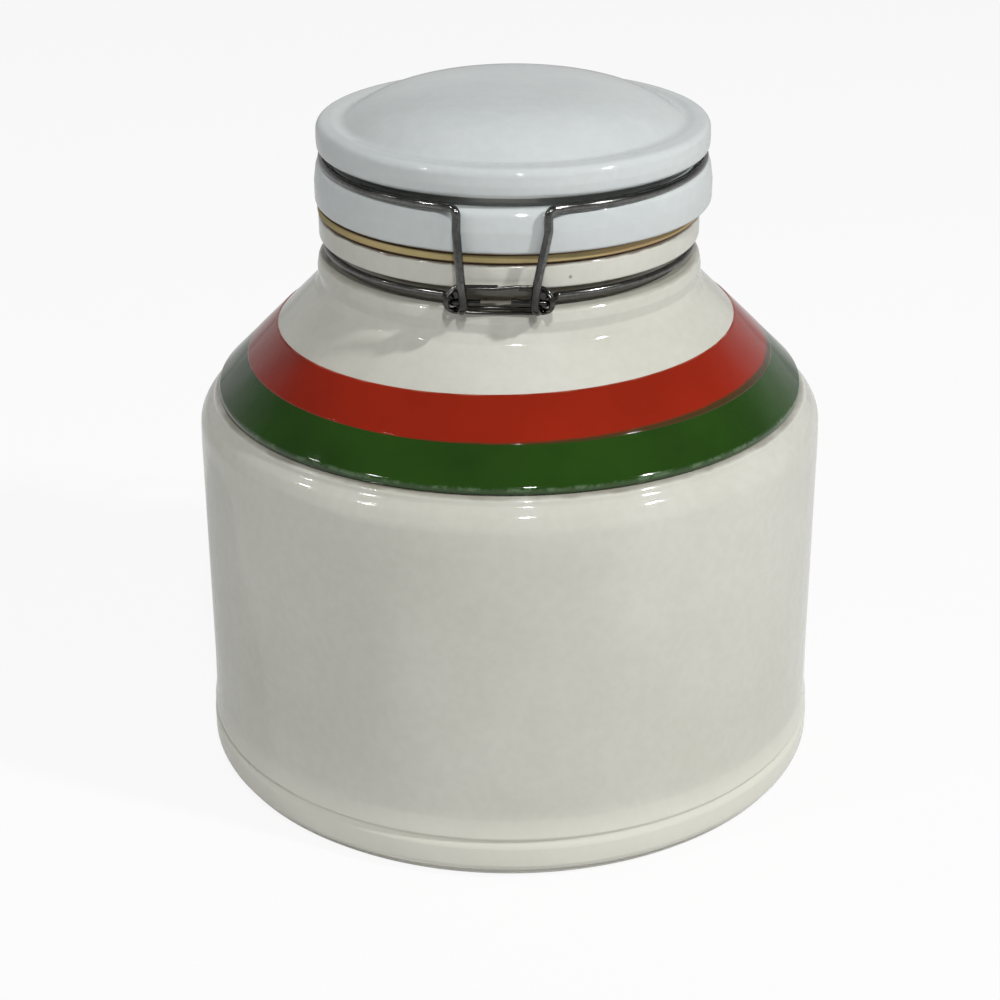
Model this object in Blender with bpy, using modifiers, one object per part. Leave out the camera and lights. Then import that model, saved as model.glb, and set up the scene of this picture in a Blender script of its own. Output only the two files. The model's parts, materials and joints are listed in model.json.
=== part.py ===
"""Glazed stoneware cookie jar with a hinged lid on a rubber ring, held by a wire lever closure.

The jar stands on z = 0 with its axis on z, its hinge at -Y and its lever at +Y.
The lid is down. The lever is let go and its hasp leans clear of the lid, which is free to open.
"""

import math

import bpy
from mathutils import Matrix, Vector

MM = 0.001
CLEARANCE = 0.3 * MM

# Foot and base mouldings of the body
FOOT_SETBACK = 3.6 * MM
FOOT_RING = 13.0 * MM
FOOT_RECESS = 2.0 * MM
FOOT_HEIGHT = 2.8 * MM
FOOT_STEP = 0.9 * MM
BASE_BEAD = 8.4 * MM
BASE_BEAD_PROUD = 1.2 * MM
BASE_BEAD_ROUND = 2.6 * MM
BASE_BEAD_TUCK = 2.2 * MM
BASE_BEAD_LIP = 1.4 * MM
BASE_GROOVE = 1.9 * MM
BASE_GROOVE_RISE = 1.2 * MM
BASE_FLARE = 0.9 * MM
BASE_FLARE_START = 4.0 * MM
BASE_FLARE_HEIGHT = 20.0 * MM

# Wall and shoulder of the body
BODY_RADIUS = 89.5 * MM
BODY_WALL = 5.0 * MM
FLOOR = 6.0 * MM
WALL_HEIGHT = 107.6 * MM
SHOULDER_RISE = 4.6 * MM
SHOULDER_ROUND = 8.0 * MM
INSIDE_ROUND = 9.0 * MM

# Cone above the shoulder, with its two bands of coloured glaze
CONE_INSET = 6.1 * MM
CONE_TILT = math.radians(45)
BAND_THICKNESS = 1.0 * MM
BAND_PROUD = 0.15 * MM
GREEN_SKIRT = 2.1 * MM
GREEN_ROUND = 4.0 * MM
GREEN_WIDTH = 11.9 * MM
RED_WIDTH = 14.0 * MM

# Neck: collar, groove for the neck wire, and flange
COLLAR_RADIUS = 54.1 * MM
COLLAR_HEIGHT = 8.9 * MM
COLLAR_COVE = 1.0 * MM
COLLAR_COVE_RISE = 3.0 * MM
COLLAR_ROUND = 1.8 * MM
NECK_GROOVE = 5.8 * MM
NECK_WALL = 5.0 * MM
FLANGE_SETBACK = 0.8 * MM
FLANGE_HEIGHT = 6.7 * MM
MOUTH_ROUND = 1.4 * MM
EDGE_ROUND = 0.8 * MM

# Rubber ring and lid
GASKET_THICKNESS = 2.5 * MM
GASKET_PROUD = 0.2 * MM
PLUG_FIT = 1.6 * MM
PLUG_DEPTH = 6.0 * MM
PLUG_TAPER = 2.5 * MM
PLUG_ROUND = 3.0 * MM
LID_WALL = 5.0 * MM
LID_OVERHANG = 2.0 * MM
LID_BEAD = 11.4 * MM
LID_BEAD_SLOPE = 5.0 * MM
LID_BEAD_SETBACK = 1.4 * MM
LID_BEAD_ROUND = 1.6 * MM
LID_GROOVE = 3.7 * MM
LID_GROOVE_ROUND = 0.6 * MM
RIM_HEIGHT = 7.0 * MM
RIM_SETBACK = 0.9 * MM
RIM_ROUND = 1.6 * MM
RIM_WIDTH = 5.9 * MM
DOME_RISE = 9.4 * MM
DOME_POWER = 3.0
DOME_POINTS = 7

# Wires
LID_WIRE = 2.3 * MM
NECK_WIRE = 1.8 * MM
LINK_WIRE = 0.9 * MM
HASP_WIRE = 2.0 * MM
EYE_FIT = 0.2 * MM
WIRE_BEND = 2.0 * MM

# Hinge at the back of the neck
HINGE_TUCK = 0.8 * MM
HINGE_RISE = 0.3 * MM
LEG_SPACING_TOP = 23.0 * MM
LEG_SPACING = 17.6 * MM
STUB_OVERRUN = 1.0 * MM
STUB_END_LEFT = 4.7 * MM
STUB_END_RIGHT = 3.2 * MM
STUB_HEAD_LENGTH = 3.5 * MM
STUB_HEAD_SWELL = 1.3
LINK_END_GAP = 1.0 * MM
LINK_FIT = 0.25 * MM
LINK_BOW = 0.45 * MM
LINK_SHOULDER = 3.6 * MM
LINK_MIDDLE = 9.8 * MM
LINK_TUCK = 0.4 * MM
LINK_LIFT = 0.1 * MM

# Lever closure at the front of the neck
LEVER_STANDOFF = 2.8 * MM
LEVER_EYES = 13.0 * MM
BAR_OVERRUN = 1.25 * MM
LEVER_SIDE_GAP = 0.65 * MM
LEVER_LENGTH = 32.0 * MM
LEVER_TIP = 8.0 * MM
LEVER_TIP_TURN = math.radians(25)
LEVER_BIGHT = 7.0 * MM
CRANK_IN = 1.5 * MM
CRANK_DROP = 7.2 * MM
HASP_SIDE_GAP = 0.55 * MM
HASP_BEND = 4.0 * MM
CATCH_SETBACK = 1.0 * MM
CATCH_WIDTH = 14.0 * MM
CATCH_FIT = 0.4 * MM
LEVER_CLOSED = math.radians(-50)
LEVER_LET_GO = math.radians(20)
HASP_FOLLOW = -1.6

# Fineness of the turned shapes, the rings and the eyes
TURNED_STEPS = 48
ARC_STEP = math.radians(7.5)
EYE_STEPS = 14

# Levels and radii that pieces share, from the foot up
base_bead_top = FOOT_HEIGHT + BASE_BEAD
floor_top = FOOT_RECESS + FLOOR
inside_radius = BODY_RADIUS - BODY_WALL
shoulder_top = WALL_HEIGHT + SHOULDER_RISE
cone_edge = Vector((BODY_RADIUS - CONE_INSET, shoulder_top + GREEN_SKIRT))
cone_up = Vector((-math.cos(CONE_TILT), math.sin(CONE_TILT)))
cone_out = Vector((math.sin(CONE_TILT), math.cos(CONE_TILT)))
cone_length = (cone_edge.x - COLLAR_RADIUS - COLLAR_COVE) / math.cos(CONE_TILT)
collar_bottom = cone_edge.y + cone_length * math.sin(CONE_TILT)
collar_top = collar_bottom + COLLAR_HEIGHT
neck_groove_top = collar_top + NECK_GROOVE
mouth_top = neck_groove_top + FLANGE_HEIGHT
flange_radius = COLLAR_RADIUS - FLANGE_SETBACK
neck_ring_radius = flange_radius - NECK_WIRE
neck_groove_radius = neck_ring_radius - NECK_WIRE / 2 - CLEARANCE
mouth_radius = neck_groove_radius - NECK_WALL
gasket_bottom = mouth_top + CLEARANCE
gasket_top = gasket_bottom + GASKET_THICKNESS
seat = gasket_top + CLEARANCE
plug_radius = mouth_radius - PLUG_FIT
bead_radius = flange_radius + LID_OVERHANG
bead_top = seat + LID_BEAD
rim_bottom = bead_top + LID_GROOVE
rim_top = rim_bottom + RIM_HEIGHT
rim_radius = bead_radius - RIM_SETBACK
dome_radius = rim_radius - RIM_WIDTH
lid_ring_radius = rim_radius - LID_WIRE / 2 - CLEARANCE
lid_groove_radius = lid_ring_radius - LID_WIRE / 2 - CLEARANCE
lid_ring_level = bead_top + LID_GROOVE / 2
wire_level = collar_top + NECK_GROOVE / 2 + HINGE_RISE

# Eyes of the lid wire and of the lever, which turn on the neck wire
eye_radius = NECK_WIRE / 2 + EYE_FIT + LID_WIRE / 2
eye_outer = eye_radius + LID_WIRE / 2
eye_pitch = LID_WIRE + CLEARANCE

# Reaches of the hinge and the closure, and how wide each wire stands past the last
hinge_reach = flange_radius + eye_outer - HINGE_TUCK
lever_reach = flange_radius + eye_outer + LEVER_STANDOFF
catch_reach = lever_reach - CATCH_SETBACK
leg_eye_end = LEG_SPACING / 2 + eye_pitch
stub_bend = leg_eye_end + STUB_OVERRUN
link_end = leg_eye_end + LID_WIRE / 2 + LINK_END_GAP + LINK_WIRE / 2
lever_eye_end = LEVER_EYES / 2 + eye_pitch
bar_side = lever_eye_end + LID_WIRE / 2 + BAR_OVERRUN
hasp_pitch = HASP_WIRE + CLEARANCE
hasp_side = lever_eye_end + LID_WIRE / 2 + HASP_SIDE_GAP + HASP_WIRE / 2
lever_side = hasp_side + hasp_pitch + HASP_WIRE / 2 + LEVER_SIDE_GAP + LID_WIRE / 2
hinge_axis = Vector((0, -hinge_reach, wire_level))
lever_axis = Vector((0, lever_reach, wire_level))
crank_pin = Vector((0, -CRANK_IN, -CRANK_DROP))


def clear_scene():
    for old in list(bpy.data.objects):
        bpy.data.objects.remove(old, do_unlink=True)


def finish(name, colour, roughness, metallic=0.0):
    material = bpy.data.materials.new(name)
    material.use_nodes = True
    shader = material.node_tree.nodes["Principled BSDF"]
    shader.inputs["Base Color"].default_value = (*colour, 1.0)
    shader.inputs["Roughness"].default_value = roughness
    shader.inputs["Metallic"].default_value = metallic
    material.diffuse_color = (*colour, 1.0)
    return material


def rounded(corners, steps=2):
    """A path through (point, radius) corners, each corner with a radius turned into an arc of it."""
    points = [Vector(corner) for corner, radius in corners]
    path = [points[0]]
    for index in range(1, len(points) - 1):
        corner = points[index]
        back = points[index - 1] - corner
        ahead = points[index + 1] - corner
        turn = math.pi - back.angle(ahead)
        radius = corners[index][1]
        if radius == 0 or turn < 0.01:
            path.append(corner)
            continue
        room = 0.45 * min(back.length, ahead.length)
        cut = min(radius * math.tan(turn / 2), room)
        middle = back.normalized() + ahead.normalized()
        centre = corner + middle.normalized() * cut / math.sin(turn / 2)
        first = corner + back.normalized() * cut - centre
        last = corner + ahead.normalized() * cut - centre
        path += [centre + first.length * first.slerp(last, step / steps) for step in range(steps + 1)]
    path.append(points[-1])
    return path


def place(piece, collection, parent, location):
    collection.objects.link(piece)
    piece.parent = parent
    piece.location = location


def turned(name, outline, material, collection, parent=None, location=(0, 0, 0)):
    """A turned solid from an outline of (radius, height) that runs down its outer side."""
    mesh = bpy.data.meshes.new(name)
    count = len(outline)
    edges = [(index, index + 1) for index in range(count - 1)]
    if outline[0].x > 0:
        edges.append((count - 1, 0))
    mesh.from_pydata([(point.x, 0, point.y) for point in outline], edges, [])
    mesh.materials.append(material)
    piece = bpy.data.objects.new(name, mesh)
    place(piece, collection, parent, location)
    screw = piece.modifiers.new("turn", "SCREW")
    screw.steps = TURNED_STEPS
    screw.render_steps = TURNED_STEPS
    screw.use_merge_vertices = True
    screw.merge_threshold = 0.00001
    screw.use_smooth_shade = True
    return piece


def wire(name, path, diameter, material, collection, parent=None, location=(0, 0, 0), swells=()):
    """A round wire along a path. Swells gives the wire's relative thickness at its last points."""
    curve = bpy.data.curves.new(name, "CURVE")
    curve.dimensions = "3D"
    curve.bevel_depth = diameter / 2
    curve.bevel_resolution = 2
    curve.use_fill_caps = True
    curve.materials.append(material)
    spline = curve.splines.new("POLY")
    spline.points.add(len(path) - 1)
    for point, target in zip(path, spline.points):
        target.co = (*point, 1)
    for back, swell in enumerate(reversed(swells), 1):
        spline.points[-back].radius = swell
    piece = bpy.data.objects.new(name, curve)
    place(piece, collection, parent, location)
    return piece


def mirrored(path):
    """A path's mirror image across x = 0, from its end to its start."""
    return [Vector((-point.x, point.y, point.z)) for point in reversed(path)]


def eye(axis, radius, across, pitch, start, turn):
    """A wire's curl about an axis along X. Its angles go from +Y towards +Z."""
    path = []
    for step in range(EYE_STEPS + 1):
        share = step / EYE_STEPS
        angle = start + turn * share
        spoke = Vector((across + pitch * share, radius * math.cos(angle), radius * math.sin(angle)))
        path.append(Vector((0, axis.y, axis.z)) + spoke)
    return path


def touch_angle(radius, point, side):
    """Angle at which a line from a point outside a circle touches it, on one side of the point."""
    lean = math.acos(radius / math.hypot(point.x, point.y))
    return math.atan2(point.y, point.x) + side * lean


def around(radius, level, front, back):
    """Corners of a ring's +X side, between the places where straight runs to two points leave it."""
    start = touch_angle(radius, front, -1)
    end = touch_angle(radius, back, 1)
    count = math.ceil((start - end) / ARC_STEP)
    angles = [start + (end - start) * step / count for step in range(count + 1)]
    return [(Vector((radius * math.cos(angle), radius * math.sin(angle), level)), 0) for angle in angles]


def on_cone(distance, lift):
    """A point up the cone from its lower edge, and lifted off it."""
    return cone_edge + cone_up * distance + cone_out * lift


def edge_below(depth):
    """Corner of the cone and its upright lower edge, with both moved inwards by a depth."""
    drop = depth * (1 - math.sin(CONE_TILT)) / math.cos(CONE_TILT)
    return cone_edge - Vector((depth, drop))


def level_below(radius, depth):
    """Height at a radius of a surface that runs under the cone at a depth."""
    return cone_edge.y - (depth + (radius - cone_edge.x) * math.sin(CONE_TILT)) / math.cos(CONE_TILT)


def make_jar_body(material, collection):
    foot_radius = BODY_RADIUS - FOOT_SETBACK
    base_radius = BODY_RADIUS + BASE_BEAD_PROUD
    flare_radius = BODY_RADIUS + BASE_FLARE
    recess = BAND_THICKNESS + CLEARANCE - BAND_PROUD
    ledge = edge_below(recess)
    bands_top = GREEN_WIDTH + RED_WIDTH + 2 * CLEARANCE
    depth = BODY_WALL + recess
    inner = [
        ((0, floor_top), 0),
        ((inside_radius, floor_top), INSIDE_ROUND),
        ((inside_radius, level_below(inside_radius, depth)), INSIDE_ROUND),
        ((mouth_radius, level_below(mouth_radius, depth)), INSIDE_ROUND),
        ((mouth_radius, mouth_top), MOUTH_ROUND),
    ]
    cove = Vector((COLLAR_RADIUS - COLLAR_COVE / 2, collar_bottom + COLLAR_COVE_RISE - COLLAR_ROUND / 2))
    neck = [
        ((flange_radius, mouth_top), MOUTH_ROUND),
        ((flange_radius, neck_groove_top), EDGE_ROUND),
        ((neck_groove_radius, neck_groove_top), EDGE_ROUND),
        ((neck_groove_radius, collar_top), EDGE_ROUND),
        ((COLLAR_RADIUS, collar_top), COLLAR_ROUND),
        ((COLLAR_RADIUS, collar_bottom + COLLAR_COVE_RISE), COLLAR_COVE),
        (cove, COLLAR_COVE),
        (on_cone(cone_length, 0), COLLAR_ROUND),
    ]
    cone = [
        (on_cone(bands_top, 0), 0),
        (on_cone(bands_top, -recess), 0),
        (ledge, 0),
        ((ledge.x, shoulder_top), 0),
        ((BODY_RADIUS, WALL_HEIGHT), SHOULDER_ROUND),
    ]
    base = [
        ((BODY_RADIUS, base_bead_top + BASE_FLARE_HEIGHT), 0),
        ((flare_radius, base_bead_top + BASE_FLARE_START), 0),
        ((flare_radius, base_bead_top + BASE_GROOVE_RISE), EDGE_ROUND),
        ((base_radius - BASE_GROOVE, base_bead_top), 0),
        ((base_radius, base_bead_top - BASE_BEAD_LIP), BASE_BEAD_ROUND),
        ((base_radius, FOOT_HEIGHT + BASE_BEAD_TUCK), BASE_BEAD_ROUND),
        ((foot_radius + FOOT_STEP, FOOT_HEIGHT), 0),
        ((foot_radius, 0), EDGE_ROUND),
        ((foot_radius - FOOT_RING, 0), 0),
        ((foot_radius - FOOT_RING - FOOT_RECESS, FOOT_RECESS), 0),
        ((0, FOOT_RECESS), 0),
    ]
    turned("jar_body", rounded(inner + neck + cone + base), material, collection)


def make_glaze_bands(green, red, collection):
    outer = BAND_PROUD
    inner = BAND_PROUD - BAND_THICKNESS
    skirt = shoulder_top + CLEARANCE
    outer_edge = edge_below(-outer)
    inner_edge = edge_below(-inner)
    green_outline = rounded([
        (on_cone(GREEN_WIDTH, outer), 0),
        (outer_edge, GREEN_ROUND),
        ((outer_edge.x, skirt), 0),
        ((inner_edge.x, skirt), 0),
        (inner_edge, 0),
        (on_cone(GREEN_WIDTH, inner), 0),
    ], steps=4)
    turned("green_glaze_band", green_outline, green, collection)
    red_start = GREEN_WIDTH + CLEARANCE
    red_end = red_start + RED_WIDTH
    red_outline = [
        on_cone(red_end, outer),
        on_cone(red_start, outer),
        on_cone(red_start, inner),
        on_cone(red_end, inner),
    ]
    turned("red_glaze_band", red_outline, red, collection)


def make_lid(material, collection, parent, location):
    plug_bottom = seat - PLUG_DEPTH
    plug_tip = plug_radius - PLUG_TAPER
    inside = lid_groove_radius - LID_WALL
    dome = []
    dome_under = []
    for step in range(DOME_POINTS + 1):
        share = step / DOME_POINTS
        height = rim_top + DOME_RISE * (1 - share ** DOME_POWER)
        dome.append(((dome_radius * share, height), 0))
        dome_under.insert(0, ((inside * share, height - LID_WALL), 0))
    outline = rounded(dome + [
        ((rim_radius, rim_top), RIM_ROUND),
        ((rim_radius, rim_bottom), LID_GROOVE_ROUND),
        ((lid_groove_radius, rim_bottom), LID_GROOVE_ROUND),
        ((lid_groove_radius, bead_top), LID_GROOVE_ROUND),
        ((bead_radius - LID_BEAD_SETBACK, bead_top), LID_GROOVE_ROUND),
        ((bead_radius, bead_top - LID_BEAD_SLOPE), LID_BEAD_ROUND),
        ((bead_radius, seat), LID_BEAD_ROUND),
        ((plug_radius, seat), 0),
        ((plug_radius, gasket_bottom), 0),
        ((plug_tip, plug_bottom), 0),
        ((plug_tip - LID_WALL, plug_bottom), EDGE_ROUND),
        ((plug_tip - LID_WALL, gasket_bottom), PLUG_ROUND),
        ((inside, seat + LID_BEAD / 2), PLUG_ROUND),
    ] + dome_under)
    turned("lid", outline, material, collection, parent, location)


def make_gasket(material, collection, parent, location):
    inner_radius = plug_radius + CLEARANCE
    outer_radius = flange_radius + GASKET_PROUD
    chamfer = 0.25 * GASKET_THICKNESS
    outline = [
        Vector((inner_radius, gasket_top)),
        Vector((outer_radius - chamfer, gasket_top)),
        Vector((outer_radius, gasket_top - chamfer)),
        Vector((outer_radius, gasket_bottom + chamfer)),
        Vector((outer_radius - chamfer, gasket_bottom)),
        Vector((inner_radius, gasket_bottom)),
    ]
    turned("gasket", outline, material, collection, parent, location)


def make_lid_wire(material, collection, parent):
    """Ring in the lid's groove: a catch bar at the front, and two legs with eyes at the hinge."""
    leg_y = -hinge_reach - eye_radius
    bar_end = Vector((CATCH_WIDTH / 2, catch_reach, lid_ring_level))
    leg_top = Vector((LEG_SPACING_TOP / 2, leg_y, lid_ring_level))
    half = [(Vector((0, catch_reach, lid_ring_level)), 0), (bar_end, WIRE_BEND)]
    half += around(lid_ring_radius, lid_ring_level, bar_end, leg_top)
    half += [(leg_top, WIRE_BEND), (Vector((LEG_SPACING / 2, leg_y, wire_level)), 0)]
    curl = eye(hinge_axis, eye_radius, LEG_SPACING / 2, eye_pitch, math.pi, math.tau)
    right = rounded(half, steps=4) + curl[1:]
    path = [point - hinge_axis for point in mirrored(right) + right[1:]]
    wire("lid_wire", path, LID_WIRE, material, collection, parent)


def make_neck_wire(material, collection):
    """Ring in the neck's groove: a straight bar for the lever, and two stubs in the lid wire's eyes."""
    bar_end = Vector((bar_side, lever_reach, wire_level))
    bend = Vector((stub_bend, -hinge_reach, wire_level))
    half = [(lever_axis, 0), (bar_end, WIRE_BEND)]
    half += around(neck_ring_radius, wire_level, bar_end, bend)
    half += [(bend, WIRE_BEND)]
    along = Vector((1, 0, 0))
    left_end = hinge_axis + along * STUB_END_LEFT
    right_end = hinge_axis + along * STUB_END_RIGHT
    head_start = right_end + along * STUB_HEAD_LENGTH
    head_middle = right_end + along * STUB_HEAD_LENGTH / 2
    left = rounded(half + [(left_end, 0)], steps=4)
    right = rounded(half + [(head_start, 0)], steps=4) + [head_middle, right_end]
    path = mirrored(left) + right[1:]
    wire("neck_wire", path, NECK_WIRE, material, collection, swells=(1, STUB_HEAD_SWELL, STUB_HEAD_SWELL))


def make_hinge_link(material, collection):
    """A thin wire wound twice round both eyes, one turn before the stubs and one behind them."""
    height = eye_outer + LINK_FIT + LINK_WIRE / 2
    front = -LINK_WIRE / 2
    front_end = front - LINK_BOW
    over = flange_radius + CLEARANCE + LINK_WIRE / 2
    under = COLLAR_RADIUS + CLEARANCE + LINK_WIRE / 2
    high = height - LINK_TUCK
    low = LINK_LIFT - height
    middle = LINK_MIDDLE / 2
    outer = link_end - LINK_SHOULDER

    def before(across, offset, up, bend=0):
        return (hinge_axis + Vector((across, offset, up)), bend)

    def behind(across, radius, up, bend=0):
        """A corner behind the eyes, on a circle round the neck."""
        return before(across, hinge_reach - math.sqrt(radius * radius - across * across), up, bend)

    path = rounded([
        before(-middle, front, height),
        before(-outer, front, height),
        before(-link_end, front_end, height, WIRE_BEND),
        before(-link_end, front_end, -height, WIRE_BEND),
        before(link_end, front_end, -height, WIRE_BEND),
        before(link_end, front_end, height, WIRE_BEND),
        before(outer, front, height),
        before(middle, front, height),
        behind(-middle, over, high),
        behind(-outer, over, high),
        behind(-link_end, over, high, WIRE_BEND),
        behind(-link_end, under, low, WIRE_BEND),
        behind(-outer, under, low),
        behind(-middle, under, low),
        behind(middle, under, low),
        behind(outer, under, low),
        behind(link_end, under, low, WIRE_BEND),
        behind(link_end, over, high, WIRE_BEND),
        behind(outer, over, high),
        behind(middle, over, high),
    ], steps=4)
    wire("hinge_link", path, LINK_WIRE, material, collection)


def make_latch_lever(material, collection):
    """Bent lever: eyes on the neck wire's bar, crank pins for the hasp, and a handle loop."""
    along = Matrix.Rotation(LEVER_CLOSED, 3, "X") @ Vector((0, 1, 0))
    outward = Matrix.Rotation(LEVER_CLOSED + LEVER_TIP_TURN, 3, "X") @ Vector((0, 1, 0))
    side = Vector((lever_side, 0, 0))
    inner = Vector((lever_eye_end, 0, 0))
    knee = crank_pin + along * (LEVER_LENGTH - LEVER_TIP)
    tip = knee + outward * LEVER_TIP
    lean = math.acos(eye_radius / crank_pin.length)
    leave = math.atan2(crank_pin.z, crank_pin.y) - lean
    curl = eye(Vector((0, 0, 0)), eye_radius, LEVER_EYES / 2, eye_pitch, leave - math.tau, math.tau)
    half = [
        (tip, 0),
        (tip + side, LEVER_BIGHT),
        (knee + side, WIRE_BEND),
        (crank_pin + side, WIRE_BEND),
        (crank_pin + inner, WIRE_BEND),
        (curl[-1], 0),
    ]
    right = rounded(half, steps=4) + curl[-2::-1]
    path = mirrored(right) + right[1:]
    lever = wire("latch_lever", path, LID_WIRE, material, collection, None, lever_axis)
    lever.rotation_euler.x = LEVER_LET_GO
    return lever


def make_latch_hasp(material, collection, lever):
    """Hasp on the lever's crank pins, whose cross bar comes down over the lid wire's catch bar."""
    pin_eye_radius = LID_WIRE / 2 + EYE_FIT + HASP_WIRE / 2
    pin_place = lever_axis + crank_pin
    bow = lever_reach + NECK_WIRE / 2 + HASP_WIRE / 2 + 2 * CLEARANCE - pin_place.y
    top = lid_ring_level + LID_WIRE / 2 + CATCH_FIT + HASP_WIRE / 2 - pin_place.z
    side = Vector((hasp_side, 0, 0))
    bar = Vector((0, catch_reach - pin_place.y, top))
    curl = eye(Vector((0, 0, 0)), pin_eye_radius, hasp_side, hasp_pitch, 0, -math.tau)
    half = [
        (bar, 0),
        (bar + side, WIRE_BEND),
        (side + Vector((0, bow, top)), WIRE_BEND),
        (side + Vector((0, bow, CRANK_DROP - NECK_WIRE)), HASP_BEND),
        (curl[0], 0),
    ]
    right = rounded(half, steps=4) + curl[1:]
    path = mirrored(right) + right[1:]
    hasp = wire("latch_hasp", path, HASP_WIRE, material, collection, lever, crank_pin)
    hasp.rotation_euler.x = HASP_FOLLOW * LEVER_LET_GO


clear_scene()
parts = bpy.data.collections.new("cookie_jar")
bpy.context.scene.collection.children.link(parts)

ivory_glaze = finish("ivory_glaze", (0.64, 0.63, 0.56), 0.12)
green_glaze = finish("green_glaze", (0.025, 0.13, 0.018), 0.12)
red_glaze = finish("red_glaze", (0.50, 0.035, 0.015), 0.15)
white_glaze = finish("white_glaze", (0.66, 0.69, 0.70), 0.1)
tan_rubber = finish("tan_rubber", (0.52, 0.38, 0.2), 0.6)
steel = finish("steel", (0.22, 0.21, 0.2), 0.35, 1.0)

make_jar_body(ivory_glaze, parts)
make_glaze_bands(green_glaze, red_glaze, parts)
make_neck_wire(steel, parts)
make_hinge_link(steel, parts)

lid_hinge = bpy.data.objects.new("lid_hinge", None)
place(lid_hinge, parts, None, hinge_axis)
make_lid(white_glaze, parts, lid_hinge, -hinge_axis)
make_gasket(tan_rubber, parts, lid_hinge, -hinge_axis)
make_lid_wire(steel, parts, lid_hinge)

latch_lever = make_latch_lever(steel, parts)
make_latch_hasp(steel, parts, latch_lever)
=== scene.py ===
import json
import math

import bpy
from mathutils import Matrix, Vector


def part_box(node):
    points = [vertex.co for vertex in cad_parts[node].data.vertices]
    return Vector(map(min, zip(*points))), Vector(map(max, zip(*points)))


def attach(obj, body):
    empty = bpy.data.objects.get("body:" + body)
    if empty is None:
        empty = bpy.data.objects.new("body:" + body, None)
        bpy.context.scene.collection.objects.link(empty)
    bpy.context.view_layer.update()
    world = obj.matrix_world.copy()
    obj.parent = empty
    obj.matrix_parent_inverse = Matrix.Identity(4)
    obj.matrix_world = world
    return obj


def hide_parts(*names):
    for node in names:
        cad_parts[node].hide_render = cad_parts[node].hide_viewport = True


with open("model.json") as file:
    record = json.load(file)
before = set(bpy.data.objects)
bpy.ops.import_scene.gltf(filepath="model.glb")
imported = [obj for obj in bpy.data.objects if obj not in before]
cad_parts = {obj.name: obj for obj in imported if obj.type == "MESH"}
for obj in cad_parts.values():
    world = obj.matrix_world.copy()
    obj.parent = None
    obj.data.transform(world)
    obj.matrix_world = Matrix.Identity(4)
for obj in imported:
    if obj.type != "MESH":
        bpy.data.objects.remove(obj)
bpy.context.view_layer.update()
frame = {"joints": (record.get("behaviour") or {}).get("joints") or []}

# Camera
# The photograph looks down at the hinge from about 0.6 m away, through a short telephoto lens.
# The jar's axis is a little right of the middle, and the camera leans by a fraction of a degree.
MM = 0.001
LENS = 77.65
SENSOR_WIDTH = 36
CAMERA_PLACE = Vector((26.3, -582.8, 342.0)) * MM
CAMERA_TILT = math.radians(65.23)
CAMERA_PAN = math.radians(2.87)
CAMERA_ROLL = math.radians(-0.29)

aim = Matrix.Rotation(CAMERA_PAN, 3, "Z") @ Matrix.Rotation(CAMERA_TILT, 3, "X")
aim = aim @ Matrix.Rotation(CAMERA_ROLL, 3, "Z")
bpy.ops.object.select_all(action="DESELECT")
bpy.ops.object.camera_add(location=CAMERA_PLACE, rotation=aim.to_euler())
camera = bpy.context.object
camera.data.lens = LENS
camera.data.sensor_width = SENSOR_WIDTH
bpy.context.scene.camera = camera
bpy.context.scene.view_settings.view_transform = "Standard"

# Body
# The pot is cast stoneware under a glossy ivory glaze: a foot with a round bead, an upright wall, a slope
# and a neck with a groove for its wire. It is one piece, drawn here as half a section and spun.
# The glaze has soft clouds of warmer and cooler white, a few dark pinholes and chips, dirt and painted shade
# in its grooves, painted shade in the wire's groove and a painted shadow line under the rubber ring. A
# lighter band over the foot is partly pooled glaze and partly painted light.
SPIN_STEPS = 240
SMOOTH_ANGLE = math.radians(50)
MERGE_DISTANCE = 0.01 * MM
CONE_SUM = 197.7 * MM  # radius plus height, all over the slope
FOOT_RECESS = 2.0 * MM
POT_FLOOR = 8 * MM
POT_INSIDE = 84.5 * MM
MOUTH_RADIUS = 45.3 * MM
FLANGE_RADIUS = 53.3 * MM
NECK_CHANNEL = 48.8 * MM
NECK_CHANNEL_LOW = 151.5 * MM
NECK_CHANNEL_HIGH = 157.3 * MM
GLAZE_WAVE = 0.35 * MM
IVORY = (0.575, 0.57, 0.515)
IVORY_SHADE = (0.53, 0.53, 0.47)
GRIME_AND_SHADE = (0.17, 0.15, 0.11)
SEAL_GAP_SHADE = (0.09, 0.055, 0.03)
CLAY = (0.55, 0.46, 0.34)
POOLED_GLAZE_AND_LIGHT = (0.70, 0.69, 0.61)
BODY_CHIPS = [Vector((18.2, -50.1, 160.0)) * MM, Vector((-38.6, -81.9, 12.0)) * MM]
# Grooves and edges darkened with dirt and painted shade: height, half width and how dark
GROOVE_DIRT_AND_SHADE = [
    (2.3 * MM, 0.8 * MM, 0.3),
    (11.6 * MM, 0.8 * MM, 0.15),
    (112.2 * MM, 0.8 * MM, 1.0),
    (NECK_CHANNEL_LOW, 0.9 * MM, 0.6),
]

body_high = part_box("jar_body")[1]
base_radius = body_high.x
mouth_top = body_high.z


def arc_through(corners, steps=6):
    """A line through (point, radius) corners, with each corner turned into an arc of its radius."""
    points = [Vector(corner) for corner, radius in corners]
    line = [points[0]]
    for index in range(1, len(points) - 1):
        corner, radius = points[index], corners[index][1]
        back, ahead = points[index - 1] - corner, points[index + 1] - corner
        turn = math.pi - back.angle(ahead)
        if radius == 0 or turn < 0.01:
            line.append(corner)
            continue
        cut = min(radius * math.tan(turn / 2), 0.47 * min(back.length, ahead.length))
        middle = (back.normalized() + ahead.normalized()).normalized()
        centre = corner + middle * cut / math.sin(turn / 2)
        first = corner + back.normalized() * cut - centre
        last = corner + ahead.normalized() * cut - centre
        line += [centre + first.length * first.slerp(last, step / steps) for step in range(steps + 1)]
    line.append(points[-1])
    return line


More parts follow.
